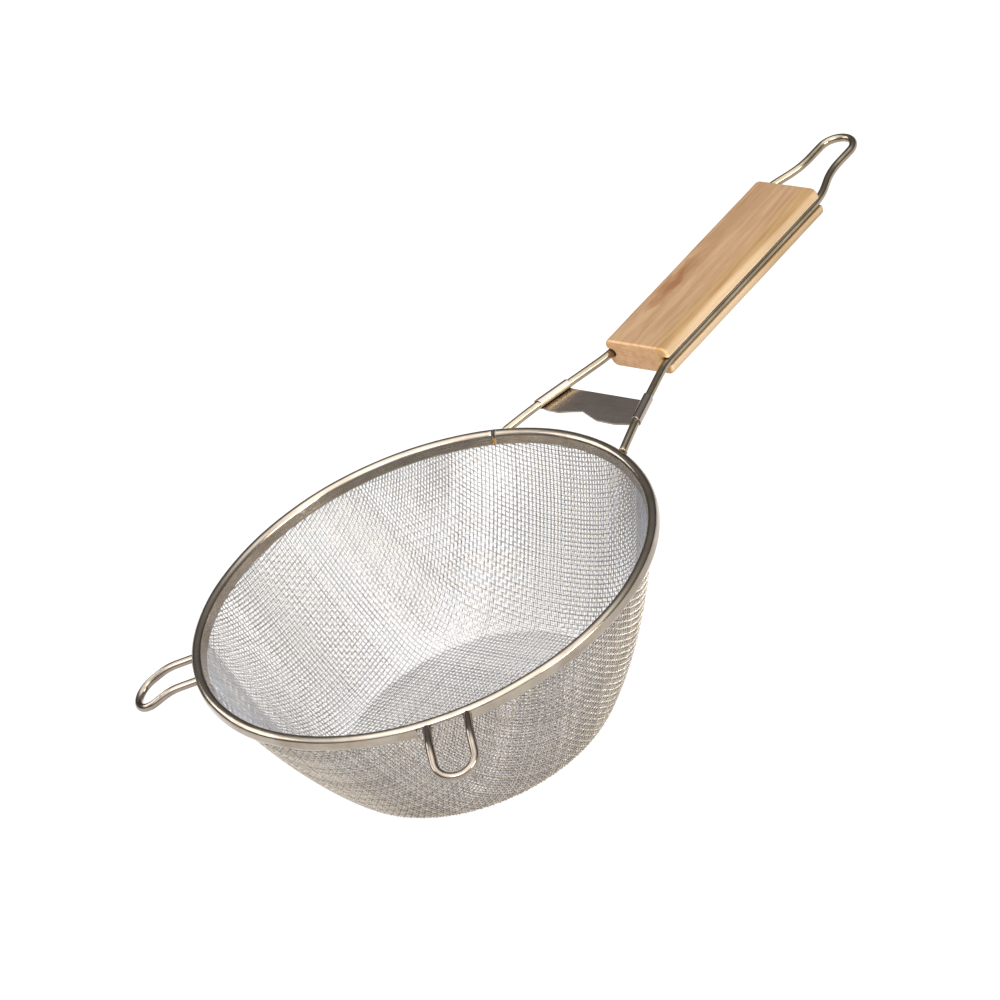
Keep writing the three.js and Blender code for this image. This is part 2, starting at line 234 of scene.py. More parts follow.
def rounded_path(corners, step):
    """A path through corners, each (point, length that its rounding takes on both sides)."""
    points = [np.array(corners[0][0], dtype=float)]

    def line_to(end):
        start = points[-1]
        count = max(1, int(round(np.linalg.norm(end - start) / step)))
        for k in range(1, count + 1):
            points.append(start + (end - start) * k / count)

    for i in range(1, len(corners)):
        corner = np.array(corners[i][0], dtype=float)
        cut = corners[i][1]
        if cut == 0:
            line_to(corner)
            continue
        before = np.array(corners[i - 1][0], dtype=float) - corner
        after = np.array(corners[i + 1][0], dtype=float) - corner
        back = corner + before / np.linalg.norm(before) * cut
        on = corner + after / np.linalg.norm(after) * cut
        line_to(back)
        count = max(6, int(round(2 * cut / step)))
        for k in range(1, count + 1):
            t = k / count
            points.append((1 - t) ** 2 * back + 2 * (1 - t) * t * corner + t * t * on)
    return points


def half_turn(start, end, ahead, count):
    """The points of a half circle from start to end that bulges ahead, without its first point."""
    start = np.array(start, dtype=float)
    end = np.array(end, dtype=float)
    ahead = np.array(ahead, dtype=float)
    middle = (start + end) / 2
    across = start - middle
    radius = np.linalg.norm(across)
    angles = np.linspace(0, math.pi, count + 1)[1:]
    return [middle + across * math.cos(a) + ahead * radius * math.sin(a) for a in angles]


def about_z(angle):
    c = math.cos(angle)
    s = math.sin(angle)
    return np.array([[c, -s, 0], [s, c, 0], [0, 0, 1]])


def handle_frame(points):
    """Points given in the handle's own frame, in the model's frame."""
    points = np.asarray(points, dtype=float)
    c = math.cos(HANDLE_PITCH)
    s = math.sin(HANDLE_PITCH)
    turn = np.array([[c, 0, -s], [0, 1, 0], [s, 0, c]])
    return points @ turn.T + np.array(HANDLE_ROOT)


def hook_frame(points, side):
    """Points given with x out along a rest hook, in the model's frame. Side is 1 for left, -1 for right."""
    return np.asarray(points, dtype=float) @ about_z(side * HOOK_AZIMUTH).T + np.array([0, 0, RIM_Z])


def settled(points):
    """Points of a true round bowl moved to where its hand-made rim and base really sit."""
    points = np.array(points, dtype=float)
    share = np.clip(points[..., 2:] / (RIM_Z + MESH_CLAMP), 0, 1)
    stretch = np.array([RIM_STRETCH, -RIM_STRETCH])
    points[..., :2] = points[..., :2] * (1 + stretch * share) + BASE_DRIFT * (1 - share) + RIM_DRIFT * share
    return points


def rim_reach(azimuth):
    """How much further out than a true round rim the settled one is, at an azimuth."""
    out = np.array([math.cos(azimuth), math.sin(azimuth)])
    return float(RIM_RADIUS * RIM_STRETCH * math.cos(2 * azimuth) + RIM_DRIFT @ out)


def thicken(obj, thickness, edge, mat):
    """Gives a surface its thickness, softens its cut edges, applies both and puts the material on."""
    solid = obj.modifiers.new("sheet", "SOLIDIFY")
    solid.thickness = thickness
    solid.offset = 0
    soft = obj.modifiers.new("edges", "BEVEL")
    soft.width = edge
    soft.segments = 2
    soft.limit_method = "ANGLE"
    soft.angle_limit = math.radians(50)
    view = bpy.context.evaluated_depsgraph_get()
    mesh = bpy.data.meshes.new_from_object(obj.evaluated_get(view), depsgraph=view)
    obj.modifiers.clear()
    obj.data = mesh
    obj.data.materials.clear()
    obj.data.materials.append(mat)


def piece(obj, node):
    """Tells the frame an object's body and the CAD node that it replaces."""
    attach(obj, "root")
    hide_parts(node)


# ---------------------------------------------------------------- materials

def new_material(name):
    mat = bpy.data.materials.new(name)
    mat.use_nodes = True
    tree = mat.node_tree
    shader = tree.nodes["Principled BSDF"]
    return mat, tree, shader


def add_node(tree, kind, **values):
    made = tree.nodes.new(kind)
    for key, value in values.items():
        if key in made.inputs:
            made.inputs[key].default_value = value
        else:
            setattr(made, key, value)
    return made


def ramp(tree, source, stops):
    """A colour that runs through stops, each (place, colour), as the source goes from 0 to 1."""
    made = tree.nodes.new("ShaderNodeValToRGB")
    ends = made.color_ramp.elements
    while len(ends) < len(stops):
        ends.new(0.5)
    for element, (place, colour) in zip(ends, stops):
        element.position = place
        element.color = (*colour, 1) if len(colour) == 3 else colour
    tree.links.new(source, made.inputs["Fac"])
    return made.outputs["Color"]


def grey(value):
    return (value, value, value)


def mixed(tree, factor, first, second, mode="MIX"):
    made = tree.nodes.new("ShaderNodeMix")
    made.data_type = "RGBA"
    made.blend_type = mode
    sockets = made.inputs["Factor"], made.inputs[6], made.inputs[7]
    for socket, value in zip(sockets, (factor, first, second)):
        if isinstance(value, bpy.types.NodeSocket):
            tree.links.new(value, socket)
        else:
            socket.default_value = value if isinstance(value, float) else (*value, 1)
    return made.outputs[2]


def math_node(tree, operation, *values, clamped=False):
    made = tree.nodes.new("ShaderNodeMath")
    made.operation = operation
    made.use_clamp = clamped
    for socket, value in zip(made.inputs, values):
        if isinstance(value, bpy.types.NodeSocket):
            tree.links.new(value, socket)
        else:
            socket.default_value = value
    return made.outputs[0]


def fade(tree, value, start, end):
    """0 where the value is at start and 1 where it is at end, and no less or more than that beyond them."""
    return math_node(tree, "MULTIPLY_ADD", value, 1 / (end - start), -start / (end - start), clamped=True)


def centred(tree, value, width):
    """A noise of 0 to 1, shifted and scaled to lie round 0."""
    return math_node(tree, "MULTIPLY", math_node(tree, "SUBTRACT", value, 0.5), width)


def distance(tree, first, second):
    """Length of the plane vector with these two parts."""
    squares = math_node(tree, "MULTIPLY", first, first), math_node(tree, "MULTIPLY", second, second)
    return math_node(tree, "SQRT", math_node(tree, "ADD", *squares))


def split(tree, vector):
    made = tree.nodes.new("ShaderNodeSeparateXYZ")
    tree.links.new(vector, made.inputs[0])
    return made.outputs


def object_point(tree):
    return tree.nodes.new("ShaderNodeTexCoord").outputs["Object"]


def noise(tree, vector, scale, detail=3.0, roughness=0.5, stretch=(1, 1, 1)):
    """Noise of 0 to 1. A stretch below 1 draws it out along that axis."""
    mapping = tree.nodes.new("ShaderNodeMapping")
    mapping.inputs["Scale"].default_value = stretch
    tree.links.new(vector, mapping.inputs["Vector"])
    made = add_node(tree, "ShaderNodeTexNoise", Scale=scale, Detail=detail, Roughness=roughness)
    tree.links.new(mapping.outputs["Vector"], made.inputs["Vector"])
    return made.outputs["Fac"]


def bump(tree, shader, height, depth, strength=1.0):
    made = add_node(tree, "ShaderNodeBump", Strength=strength, Distance=depth)
    tree.links.new(height, made.inputs["Height"])
    tree.links.new(made.outputs["Normal"], shader.inputs["Normal"])


def metal(name):
    """A new metal material, with its nodes and the coordinates of its surface."""
    mat, tree, shader = new_material(name)
    shader.inputs["Metallic"].default_value = 1.0
    return mat, tree, shader, object_point(tree)


def plated_wire(name, colour, dark, roughness):
    """Bright plated wire: small dull patches, a few dark specks and faint drawing marks."""
    mat, tree, shader, point = metal(name)
    patches = noise(tree, point, 90.0, 4.0, 0.6)
    specks = noise(tree, point, 900.0, 2.0, 0.6)
    tone = ramp(tree, patches, [(0.35, dark), (0.6, colour)])
    spots = ramp(tree, specks, [(0.28, (0.55, 0.5, 0.42)), (0.36, grey(1.0))])
    tree.links.new(mixed(tree, 1.0, tone, spots, "MULTIPLY"), shader.inputs["Base Color"])
    rough = ramp(tree, patches, [(0.3, grey(roughness + 0.08)), (0.65, grey(roughness))])
    tree.links.new(rough, shader.inputs["Roughness"])
    bump(tree, shader, noise(tree, point, 420.0, 3.0, 0.6), 0.06 * MM, 0.5)
    return mat


def rim_metal():
    """Tinned sheet, finely streaked round the rim, with a seam that is black on top and rusty below."""
    mat, tree, shader, point = metal("rim_tinned_sheet")
    x, y, height = split(tree, point)
    angle = math_node(tree, "ARCTAN2", y, x)
    around = tree.nodes.new("ShaderNodeCombineXYZ")
    for part, socket in zip((angle, distance(tree, x, y), height), around.inputs):
        tree.links.new(part, socket)
    streaks = noise(tree, around.outputs[0], 1.0, 4.0, 0.55, (9, 2600, 2600))
    patches = noise(tree, point, 60.0, 4.0, 0.6)
    tone = ramp(tree, patches, [(0.3, (0.31, 0.257, 0.205)), (0.62, (0.43, 0.375, 0.312))])
    tone = mixed(tree, 0.15, tone, ramp(tree, streaks, [(0.35, grey(0.45)), (0.65, grey(1.0))]), "MULTIPLY")
    ragged = noise(tree, point, 700.0, 4.0, 0.7)
    from_seam = math_node(tree, "ABSOLUTE", math_node(tree, "SUBTRACT", angle, SEAM))
    from_seam = math_node(tree, "ADD", from_seam, centred(tree, ragged, 0.02))
    stained = fade(tree, from_seam, 0.01, 0.005)
    low = fade(tree, height, RIM_Z + 0.2 * MM, RIM_Z - 1.0 * MM)
    rust = ramp(tree, ragged, [(0.4, (0.1, 0.04, 0.012)), (0.62, (0.45, 0.21, 0.05))])
    stain = mixed(tree, low, (0.03, 0.014, 0.007), rust)
    tree.links.new(mixed(tree, stained, tone, stain), shader.inputs["Base Color"])
    tree.links.new(math_node(tree, "SUBTRACT", 1.0, stained), shader.inputs["Metallic"])
    rough = ramp(tree, patches, [(0.3, grey(0.22)), (0.65, grey(0.13))])
    tree.links.new(mixed(tree, stained, rough, grey(0.8)), shader.inputs["Roughness"])
    bump(tree, shader, math_node(tree, "MULTIPLY_ADD", ragged, 0.3, streaks), 0.08 * MM, 0.5)
    return mat


def brace_metal():
    """Dull sheet, brighter where the sleeves are burnished above the middle of the rim."""
    mat, tree, shader, point = metal("brace_dull_sheet")
    grain = noise(tree, point, 500.0, 4.0, 0.6, (1, 0.12, 1))
    patches = noise(tree, point, 110.0, 3.0, 0.6)
    tone = ramp(tree, patches, [(0.3, (0.36, 0.3, 0.255)), (0.68, (0.42, 0.36, 0.315))])
    tone = mixed(tree, 0.1, tone, ramp(tree, grain, [(0.35, grey(0.6)), (0.6, grey(1.0))]), "MULTIPLY")
    tree.links.new(tone, shader.inputs["Base Color"])
    burnished = fade(tree, split(tree, point)["Z"], RIM_Z, RIM_Z + 1.2 * MM)
    rough = ramp(tree, grain, [(0.3, grey(0.3)), (0.7, grey(0.24))])
    tree.links.new(mixed(tree, burnished, rough, grey(0.11)), shader.inputs["Roughness"])
    bump(tree, shader, grain, 0.06 * MM, 0.5)
    return mat


def weld_metal():
    """Burnt, spattered metal of the weld beads."""
    mat, tree, shader, point = metal("weld_bead")
    spatter = noise(tree, point, 1200.0, 4.0, 0.7)
    tone = ramp(tree, spatter, [(0.35, (0.08, 0.05, 0.03)), (0.65, (0.34, 0.27, 0.2))])
    tree.links.new(tone, shader.inputs["Base Color"])
    shader.inputs["Metallic"].default_value = 0.8
    rough = ramp(tree, spatter, [(0.3, grey(0.7)), (0.7, grey(0.4))])
    tree.links.new(rough, shader.inputs["Roughness"])
    bump(tree, shader, spatter, 0.2 * MM, 0.6)
    return mat


def knot_heart(tree, point):
    """How strongly the grip's brown figure shows: a long patch with a frayed edge."""
    knot = add_node(tree, "ShaderNodeMapping", vector_type="TEXTURE")
    knot.inputs["Location"].default_value = KNOT
    knot.inputs["Scale"].default_value = KNOT_REACH
    tree.links.new(point, knot.inputs["Vector"])
    reach = add_node(tree, "ShaderNodeVectorMath", operation="LENGTH")
    tree.links.new(knot.outputs["Vector"], reach.inputs[0])
    ragged = centred(tree, noise(tree, point, 330.0, 4.0, 0.65, (0.3, 1, 1)), 1.0)
    frayed = math_node(tree, "MULTIPLY_ADD", reach.outputs["Value"], 0.5, ragged)
    return ramp(tree, frayed, [(0.2, grey(0.9)), (0.45, grey(0.5)), (0.7, grey(0.0))])


def beech():
    """Pale beech: growth rings, fibres, a brown knot, sapwood, and painted light: a far side painted pale and
    an end face painted brighter, where light falls on them.
    """
    mat, tree, shader = new_material("grip_beech")
    point = object_point(tree)
    from_pith = add_node(tree, "ShaderNodeMapping")
    from_pith.inputs["Location"].default_value = -PITH
    tree.links.new(point, from_pith.inputs["Vector"])
    along, across, up = split(tree, from_pith.outputs["Vector"])
    wander = noise(tree, point, 26.0, 3.0, 0.55, (0.28, 1, 1))
    heart = knot_heart(tree, point)
    bend = math_node(tree, "MULTIPLY_ADD", heart, 3 * MM, centred(tree, wander, 12 * MM))
    radius = math_node(tree, "ADD", distance(tree, across, up), bend)
    rings = math_node(tree, "SINE", math_node(tree, "MULTIPLY", radius, 2 * math.pi / RING_PITCH))
    rings = math_node(tree, "MULTIPLY_ADD", rings, 0.5, 0.5)
    fibres = noise(tree, point, 420.0, 4.0, 0.65, (0.1, 1, 1))
    clouds = noise(tree, point, 30.0, 3.0, 0.5, (0.35, 1, 1))
    tone = ramp(tree, clouds, [(0.32, (0.259, 0.157, 0.083)), (0.68, (0.322, 0.209, 0.119))])
    late_wood = ramp(tree, rings, [(0.1, (0.78, 0.68, 0.6)), (0.8, grey(1.0))])
    pores = ramp(tree, fibres, [(0.36, (0.72, 0.6, 0.5)), (0.56, grey(1.0))])
    tone = mixed(tree, 0.35, tone, late_wood, "MULTIPLY")
    tone = mixed(tree, 0.5, tone, pores, "MULTIPLY")
    edge = math_node(tree, "ADD", across, centred(tree, wander, 6 * MM))
    sapwood = fade(tree, edge, -20 * MM, -24.8 * MM)
    tone = mixed(tree, sapwood, tone, mixed(tree, 1.0, tone, (1.0, 1.0, 0.8), "MULTIPLY"))
    # Painted light: the far side is painted a flat pale tone that stands in for the light falling on it from
    # that side
    lit_side_paint = fade(tree, edge, -27.6 * MM, -29.4 * MM)
    tone = mixed(tree, lit_side_paint, tone, (0.47, 0.335, 0.205))
    tone = mixed(tree, heart, tone, (0.175, 0.072, 0.026))
    # Painted light: the end face's tone is painted brighter and stands in for the light that falls on it
    end_face = HANDLE_ROOT.x + GRIP_START - PITH.x
    lit_end_paint = fade(tree, along, end_face + 1.25 * MM, end_face + 0.25 * MM)
    tone = mixed(tree, lit_end_paint, tone, mixed(tree, 1.0, tone, (1.83, 1.75, 1.66), "MULTIPLY"))
    tree.links.new(tone, shader.inputs["Base Color"])
    rough = ramp(tree, fibres, [(0.3, grey(0.62)), (0.7, grey(0.5))])
    tree.links.new(rough, shader.inputs["Roughness"])
    shader.inputs["Specular IOR Level"].default_value = 0.35
    bump(tree, shader, fibres, 0.18 * MM, 0.5)
    return mat


def cloth_metals(name, tints):
    """Plain drawn wire of the woven cloth, in a few slightly different tones."""
    made = []
    for number, (colour, roughness) in enumerate(tints):
        mat, _, shader = new_material(f"{name}_{number}")
        shader.inputs["Base Color"].default_value = (*colour, 1)
        shader.inputs["Metallic"].default_value = 1.0
        shader.inputs["Roughness"].default_value = roughness
        made.append(mat)
    return made


# ---------------------------------------------------------------- bowl surface

def bowl_profile(depth):
    """The outside of the bowl moved inwards by depth: radii and heights from the axis to past the rim.

    The wall is one curve from the flat base, round its corner, to the straight stretch under the rim."""
    clamp = RIM_Z + MESH_CLAMP
    lean = np.array([math.sin(WALL_LEAN), math.cos(WALL_LEAN)])
    points = np.array([
        [BASE_RADIUS, 0],
        [BASE_RADIUS + BASE_CORNER, 0],
        [MESH_RADIUS - WALL_STRAIGHTNESS * lean[0], clamp - WALL_STRAIGHTNESS * lean[1]],
        [MESH_RADIUS, clamp],
    ])
    t = np.linspace(0, 1, 400)[:, None]
    wall = ((1 - t) ** 3 * points[0] + 3 * (1 - t) ** 2 * t * points[1]
            + 3 * (1 - t) * t * t * points[2] + t ** 3 * points[3])
    along = np.gradient(wall, axis=0)
    along /= np.linalg.norm(along, axis=1)[:, None]
    wall = wall + depth * np.stack([-along[:, 1], along[:, 0]], 1)
    beyond = wall[-1] + lean * 12 * MM
    return np.concatenate([[[0, depth]], wall, [beyond]])


class Bowl:
    """A surface of revolution that cloth can be laid on."""

    def __init__(self, depth):
        self.depth = depth
        self.profile = bowl_profile(depth)
        self.r = self.profile[:, 0]
        self.z = self.profile[:, 1]
        steps = np.linalg.norm(np.diff(self.profile, axis=0), axis=1)
        self.arc = np.concatenate([[0], np.cumsum(steps)])

    def height(self, radius):
        return np.interp(radius, self.r, self.z)

    def normal(self, points):
        radius = np.hypot(points[..., 0], points[..., 1])
        slope = (self.height(radius + 0.3 * MM) - self.height(radius - 0.3 * MM)) / (0.6 * MM)
        slope = np.where(radius < 0.5 * MM, 0, slope)
        safe = np.maximum(radius, 1e-9)
        lean_x = -slope * points[..., 0] / safe
        lean_y = -slope * points[..., 1] / safe
        normal = np.stack([lean_x, lean_y, np.ones_like(radius)], -1)
        return normal / np.linalg.norm(normal, axis=-1, keepdims=True)

    def net(self, pitch, top):
        """Crossings, on one quadrant, of a cloth of equal rhombic cells laid on the bowl from its centre."""
        n = int(self.arc[-1] / pitch) + 2
        grid = np.full((n, n, 3), np.nan)
        for i in range(n):
            radius = np.interp(i * pitch, self.arc, self.r)
            height = np.interp(i * pitch, self.arc, self.z)
            if height > top + 2.5 * pitch or i * pitch > self.arc[-1]:
                break
            grid[i, 0] = (radius, 0, height)
            grid[0, i] = (0, radius, height)
        for k in range(2, 2 * n):
            i = np.arange(max(1, k - n + 1), min(k, n))
            j = k - i
            a = grid[i - 1, j]
            b = grid[i, j - 1]
            d = grid[i - 1, j - 1]
            known = ~np.isnan(a[:, 0] + b[:, 0] + d[:, 0])
            if not known.any():
                continue
            i, j, a, b, d = i[known], j[known], a[known], b[known], d[known]
            middle = (a + b) / 2
            across = b - a
            span = np.linalg.norm(across, axis=1)
            reach = np.sqrt(np.maximum(pitch ** 2 - span ** 2 / 4, (0.05 * pitch) ** 2))
            across /= span[:, None]
            ahead = middle - d
            ahead -= across * np.sum(ahead * across, 1)[:, None]
            ahead /= np.linalg.norm(ahead, axis=1)[:, None]
            lift = np.cross(across, ahead)
            lift *= np.sign(np.sum(lift * self.normal(middle), 1))[:, None]
            low = np.full(len(i), -1.2)
            high = np.full(len(i), 1.2)
            for _ in range(30):
                angle = (low + high) / 2
                toward = np.cos(angle)[:, None] * ahead + np.sin(angle)[:, None] * lift
                p = middle + reach[:, None] * toward
                above = p[:, 2] > self.height(np.hypot(p[:, 0], p[:, 1]))
                high = np.where(above, angle, high)
                low = np.where(above, low, angle)
            p[p[:, 2] > top + 2.5 * pitch] = np.nan
            grid[i, j] = p
        return grid


def dents(points):
    """How far the cloth bulges inwards at each point: slow swells, none at the base or the rim."""
    angle = np.arctan2(points[..., 1], points[..., 0])
    share = np.clip(points[..., 2] / (RIM_Z + MESH_CLAMP), 0, 1)
    swell = (np.sin(3 * angle + 0.8) + 0.7 * np.sin(5 * angle + 2.1 + 3 * share)
             + 0.5 * np.sin(8 * angle + 5 * share))
    return DENT * swell * np.sin(math.pi * share) ** 1.2


def crossings(bowl, twist, top, random):
    """Where wires cross on the whole bowl, the bowl's normals there, and which family is on the inside."""
    quarter = bowl.net(PITCH, top)
    n = quarter.shape[0]
    index = np.arange(-n + 1, n)
    grid = quarter[np.abs(index)[:, None], np.abs(index)[None, :]].copy()
    grid[..., 0] *= np.sign(index)[:, None]
    grid[..., 1] *= np.sign(index)[None, :]
    along_i = np.nan_to_num(np.gradient(grid, axis=0))
    along_j = np.nan_to_num(np.gradient(grid, axis=1))
    grid = grid + along_i * random.normal(0, WIRE_STRAY, len(index))[:, None, None]
    grid = grid + along_j * random.normal(0, WIRE_STRAY, len(index))[None, :, None]
    normal = bowl.normal(grid)
    grid = grid + normal * dents(grid)[..., None]
    turn = about_z(twist).T
    parity = np.where((index[:, None] + index[None, :]) % 2 == 0, 1.0, -1.0)
    return settled(grid @ turn), normal @ turn, parity


def cut_end(points, normals, over, top, end, out):
    """What a wire adds past its last crossing, end, towards the next one, out, up to where it is cut."""
    t = (top - points[end, 2]) / (points[out, 2] - points[end, 2])
    tip = points[end] * (1 - t) + points[out] * t + normals[end] * over[end] * (1 - 2 * t)
    if t < 0.05:
        return np.empty((0, 3))
    if t > 0.6:
        return np.array([(points[end] + points[out]) / 2, tip])
    return np.array([tip])


def crimped_wire(points, normals, over, top):
    """One wire's middle line, over and under its neighbours between its cut ends, and the normals there."""
    centre = len(points) // 2
    inside = np.nan_to_num(points[:, 2], nan=1.0) <= top
    if not inside[centre]:
        return None
    first = last = centre
    while inside[first - 1]:
        first -= 1
    while inside[last + 1]:
        last += 1
    if last - first < 3 or np.isnan(points[[first - 1, last + 1], 0]).any():
        return None
    run = slice(first, last + 1)
    line = np.empty((2 * (last - first) + 1, 3))
    line[0::2] = points[run] + normals[run] * over[run, None]
    line[1::2] = (points[first:last] + points[first + 1:last + 1]) / 2
    ups = np.empty_like(line)
    ups[0::2] = normals[run]
    ups[1::2] = (normals[first:last] + normals[first + 1:last + 1]) / 2
    head = cut_end(points, normals, over, top, first, first - 1)
    tail = cut_end(points, normals, over, top, last, last + 1)
    line = np.concatenate([head[::-1], line, tail])
    head_ups = np.tile(normals[first], (len(head), 1))
    tail_ups = np.tile(normals[last], (len(tail), 1))
    ups = np.concatenate([head_ups, ups, tail_ups])
    return line, ups


def woven(name, bowl, wire, twist, seed, metals, node):
    """Plain-woven cloth on a bowl: two families of crimped wires, each family in two pieces."""
    random = np.random.default_rng(seed)
    top = RIM_Z + MESH_TOP
    grid, normal, parity = crossings(bowl, twist, top, random)
    warp = (grid, normal, parity * wire)
    weft = (grid.swapaxes(0, 1), normal.swapaxes(0, 1), -parity.T * wire)
    for family, wires in (("warp", warp), ("weft", weft)):
        tubes = ([], [])
        tints = ([], [])
        for number, (points, normals, over) in enumerate(zip(*wires)):
            run = crimped_wire(points, normals, over, top)
            if run is None:
                continue
            half = 0 if number < len(points) // 2 else 1
            tubes[half].append(tube_mesh(run[0], wire, WIRE_SIDES, run[1]))
            tints[half].append(int(random.integers(0, len(metals))))
        for half, place in enumerate("ab"):
            obj = join_tubes(f"{name}_{family}_{place}", tubes[half], tints[half])
            for mat in metals:
                obj.data.materials.append(mat)
            piece(obj, node)


# ---------------------------------------------------------------- rim

def rim_midline():
    """The middle of the rim's sheet, its heights from RIM_Z, and the number of the point that a notch cuts to.

    It is a flange leaning with the wall, a smooth crown over the hoop, the outer wall and the curl below."""
    half = SHEET / 2
    flange = FLANGE_RADIUS + half
    outside = RIM_RADIUS - half
    crown_foot = flange + (FLANGE_TOP - FLANGE_BOTTOM) * math.tan(WALL_LEAN)
    centre = (crown_foot + outside) / 2
    reach = (outside - crown_foot) / 2
    crown = []
    for a in np.radians(np.linspace(160, 0, 33)):
        foot = FLANGE_TOP * (1 - math.cos(a)) / 2
        crown.append((centre + reach * math.cos(a), foot + (BEAD_RADIUS - half - foot) * math.sin(a)))
    points = [(flange * (1 - t) + crown[0][0] * t, FLANGE_BOTTOM * (1 - t) + crown[0][1] * t)
              for t in np.linspace(0, 1, 7)[:-1]]
    points += crown
    crown_end = len(points)
    points += [(outside, CURL_Z * t) for t in np.linspace(0, 1, 4)[1:]]
    curl = CURL_RADIUS - half
    points += [(RIM_RADIUS - CURL_RADIUS + curl * math.cos(a), CURL_Z + curl * math.sin(a))
               for a in np.linspace(0, -CURL_ANGLE, 15)[1:]]
    points = np.array(points)
    cut = crown_end - 1 - int(np.argmin(np.abs(points[:crown_end, 1][::-1] - NOTCH_TOP)))
    return points, cut


def rim_band(mat):
    """The rolled rim: open at its seam, notched at each rest hook, a little wavy, flared at the notches."""
    section, cut = rim_midline()
    notch = NOTCH_HALF / RIM_RADIUS
    seam = SEAM_GAP / 2 / RIM_RADIUS
    columns = list(np.linspace(0, 2 * math.pi, 361)[1:-1] + SEAM)
    columns += [SEAM + seam, SEAM + 2 * math.pi - seam]
    marks = []
    for centre in (HOOK_AZIMUTH, 2 * math.pi - HOOK_AZIMUTH):
        marks += [centre - notch, centre + notch]
    columns = [c for c in columns if min(abs(c - m) for m in marks) > 0.004] + marks
    columns = np.array(sorted(columns))
    wobble = 0.05 * MM * np.sin(7 * columns) + 0.04 * MM * np.sin(17 * columns + 1)
    lift = 0.06 * MM * np.sin(5 * columns + 2)
    near = np.min([np.abs(columns - m) for m in marks], axis=0) * RIM_RADIUS
    flare = np.exp(-(near / (1.6 * MM)) ** 2)
    verts = []
    tail = np.clip((np.arange(len(section)) - cut) / (len(section) - 1 - cut), 0, 1)
    for k, a in enumerate(columns):
        r = section[:, 0] + wobble[k] + 0.25 * MM * flare[k] * tail
        z = section[:, 1] + RIM_Z + lift[k] - 0.3 * MM * flare[k] * tail ** 2
        verts.append(np.stack([r * math.cos(a), r * math.sin(a), z], 1))
    count = len(section)
    index = np.arange(len(columns) * count).reshape(len(columns), count)
    quads = []
    for k in range(len(columns) - 1):
        middle = (columns[k] + columns[k + 1]) / 2
        in_notch = any(low < middle < high for low, high in (marks[0:2], marks[2:4]))
        stop = cut if in_notch else count - 1
        a = index[k, :stop]
        b = index[k, 1:stop + 1]
        c = index[k + 1, 1:stop + 1]
        d = index[k + 1, :stop]
        quads.append(np.stack([a, b, c, d], 1))
    obj = mesh_object("rim_band_rolled", settled(np.concatenate(verts)), np.concatenate(quads))
    edit = bmesh.new()
    edit.from_mesh(obj.data)
    loose = [v for v in edit.verts if not v.link_faces]
    bmesh.ops.delete(edit, geom=loose, context="VERTS")
    bmesh.ops.recalc_face_normals(edit, faces=edit.faces)
    edit.to_mesh(obj.data)
    edit.free()
    thicken(obj, SHEET, 0.1 * MM, mat)
    piece(obj, "rim_band")


def hoop(mat):
    """The hoop of wire that the rim is rolled over."""
    count = 240
    sides = 12
    centre = RIM_RADIUS - BEAD_RADIUS
    ring = []
    for a in np.linspace(0, 2 * math.pi, count + 1)[:-1]:
        out = np.array([math.cos(a), math.sin(a), 0])
        for b in np.arange(sides) * math.pi / 6:
            around = out * math.cos(b) + np.array([0, 0, 1]) * math.sin(b)
            ring.append(out * centre + np.array([0, 0, RIM_Z]) + HOOP_WIRE * around)
    index = np.arange(count * sides).reshape(count, sides)
    after = np.roll(index, -1, 0)
    quads = np.stack([index, after, np.roll(after, -1, 1), np.roll(index, -1, 1)], -1).reshape(-1, 4)
    obj = mesh_object("rim_hoop", settled(ring), quads)
    obj.data.materials.append(mat)
    piece(obj, "rim_core_wire")


# ---------------------------------------------------------------- handle and hooks

def wire_object(name, path, radius, mat, node):
    path, swell = round_ends(path, radius)
    verts, quads, caps = tube_mesh(path, radius, 20, swell=swell)
    obj = mesh_object(name, verts, quads, caps)
    obj.data.materials.append(mat)
    piece(obj, node)


def leg_y(x):
    """How far off the middle plane a leg is, at x between the rim and the grip."""
    share = (x - LEG_ROOT[0]) / (LEG_END[0] - LEG_ROOT[0])
    return LEG_ROOT[1] + (LEG_END[1] - LEG_ROOT[1]) * share


def handle_wire(mat):
    """One wire: a leg from the rim, through the grip's slot, round the hanging loop and back."""
    straight = LOOP_END - LOOP_HALF
    bend = LEG_ROOT[0] + LEG_DIP_LENGTH

    def side(sign):
        return [
            ((LEG_ROOT[0], sign * LEG_ROOT[1], -LEG_DIP), 0),
            ((bend, sign * leg_y(bend), 0), 9 * MM),
            ((LEG_END[0], sign * LEG_END[1], 0), 6 * MM),
            ((NECK_START, sign * LEG_END[1], 0), 7 * MM),
            ((NECK_END, sign * LOOP_HALF, 0), 7 * MM),
            ((straight, sign * LOOP_HALF, 0), 0),
        ]

    out = rounded_path(side(1), 1.2 * MM)
    turn = half_turn((straight, LOOP_HALF, 0), (straight, -LOOP_HALF, 0), (1, 0, 0), 26)
    back = rounded_path(side(-1), 1.2 * MM)[::-1]
    path = np.array(out + turn + back[1:])
    wire_object("handle_wire_bent", handle_frame(path), WIRE, mat, "handle_wire")


def rest_hook(name, side, mat):
    """A loop of wire out from the rim that bends down at its kink. Side is 1 for left, -1 for right."""
    slope = np.array([HOOK_TIP - HOOK_KINK, 0, -HOOK_DROP])
    length = np.linalg.norm(slope) - HOOK_HALF
    slope /= np.linalg.norm(slope)
    root = HOOK_ROOT + rim_reach(side * HOOK_AZIMUTH)

    def leg(sign):
        kink = np.array([HOOK_KINK, sign * HOOK_HALF, HOOK_Z])
        return [((root, sign * HOOK_HALF, HOOK_Z), 0), (kink, 4 * MM), (kink + slope * length, 0)]

    out = rounded_path(leg(1), 0.9 * MM)
    back = rounded_path(leg(-1), 0.9 * MM)[::-1]
    turn = half_turn(out[-1], back[0], slope, 24)
    path = np.array(out + turn + back[1:])
    wire_object(f"{name}_bent", hook_frame(path, side), HOOK_WIRE, mat, name)


